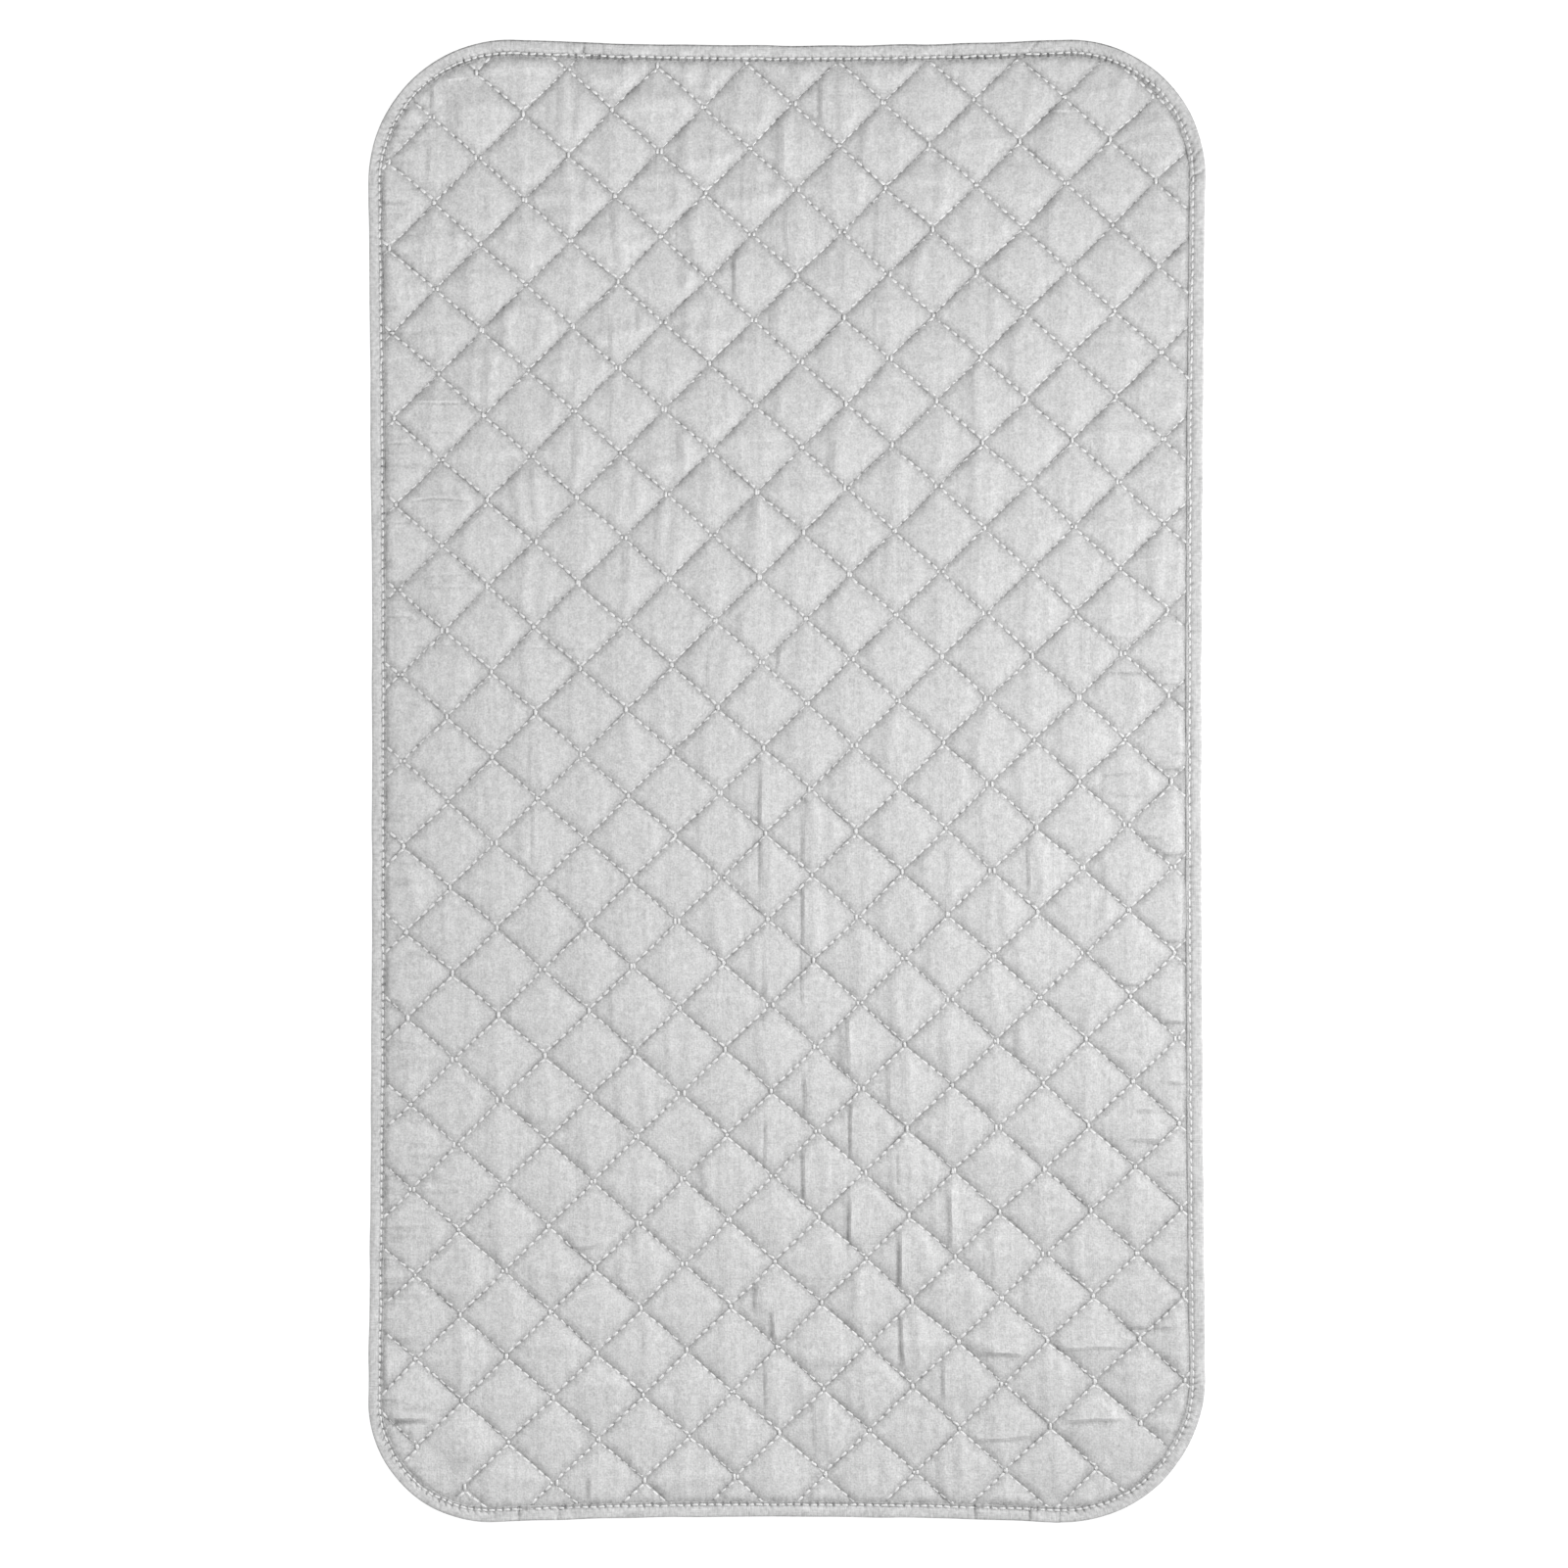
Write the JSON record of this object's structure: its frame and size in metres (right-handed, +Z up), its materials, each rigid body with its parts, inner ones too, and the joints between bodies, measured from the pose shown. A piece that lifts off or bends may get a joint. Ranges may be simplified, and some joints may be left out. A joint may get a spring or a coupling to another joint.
{
  "type": "ironing pad",
  "caption": "Flat rounded rectangular quilted ironing pad with a bound edge and hidden corner magnets, laid on a table or steel top to iron on.",
  "frame": {"origin": "under the middle of the pad, on the surface that it lies on", "axes": "+X across the pad, +Y along it, +Z up out of the face that is ironed on"},
  "size_m": [0.48, 0.85, 0.0063],
  "materials": {
    "face_fabric": "fine silver-grey coated cotton, faintly glossy",
    "fleece": "white polyester batting",
    "backing_fabric": "plain woven cotton, matte",
    "tape_fabric": "grey folded binding tape, matte",
    "sewing_thread": "light grey spun thread",
    "plated_magnet": "plated disc magnet"
  },
  "bodies": {
    "root": {"face_cloth": "face_fabric", "batting": "fleece", "backing_cloth": "backing_fabric", "edge_binding": "tape_fabric", "corner_magnet_front_left": "plated_magnet", "corner_magnet_front_right": "plated_magnet", "corner_magnet_back_left": "plated_magnet", "corner_magnet_back_right": "plated_magnet", "binding_seam_needle_thread": "sewing_thread", "binding_seam_bobbin_thread": "sewing_thread", "needle_thread_01": "sewing_thread", "needle_thread_02": "sewing_thread", "needle_thread_03": "sewing_thread", "needle_thread_04": "sewing_thread", "needle_thread_05": "sewing_thread", "needle_thread_06": "sewing_thread", "needle_thread_07": "sewing_thread", "needle_thread_08": "sewing_thread", "needle_thread_09": "sewing_thread", "needle_thread_10": "sewing_thread", "needle_thread_11": "sewing_thread", "needle_thread_12": "sewing_thread", "needle_thread_13": "sewing_thread", "needle_thread_14": "sewing_thread", "needle_thread_15": "sewing_thread", "needle_thread_16": "sewing_thread", "needle_thread_17": "sewing_thread", "bobbin_thread_01": "sewing_thread", "bobbin_thread_02": "sewing_thread", "bobbin_thread_03": "sewing_thread", "bobbin_thread_04": "sewing_thread", "bobbin_thread_05": "sewing_thread", "bobbin_thread_06": "sewing_thread", "bobbin_thread_07": "sewing_thread", "bobbin_thread_08": "sewing_thread", "bobbin_thread_09": "sewing_thread", "bobbin_thread_10": "sewing_thread", "bobbin_thread_11": "sewing_thread", "bobbin_thread_12": "sewing_thread", "bobbin_thread_13": "sewing_thread", "bobbin_thread_14": "sewing_thread", "bobbin_thread_15": "sewing_thread", "bobbin_thread_16": "sewing_thread", "bobbin_thread_17": "sewing_thread"}
  },
  "joints": []
}
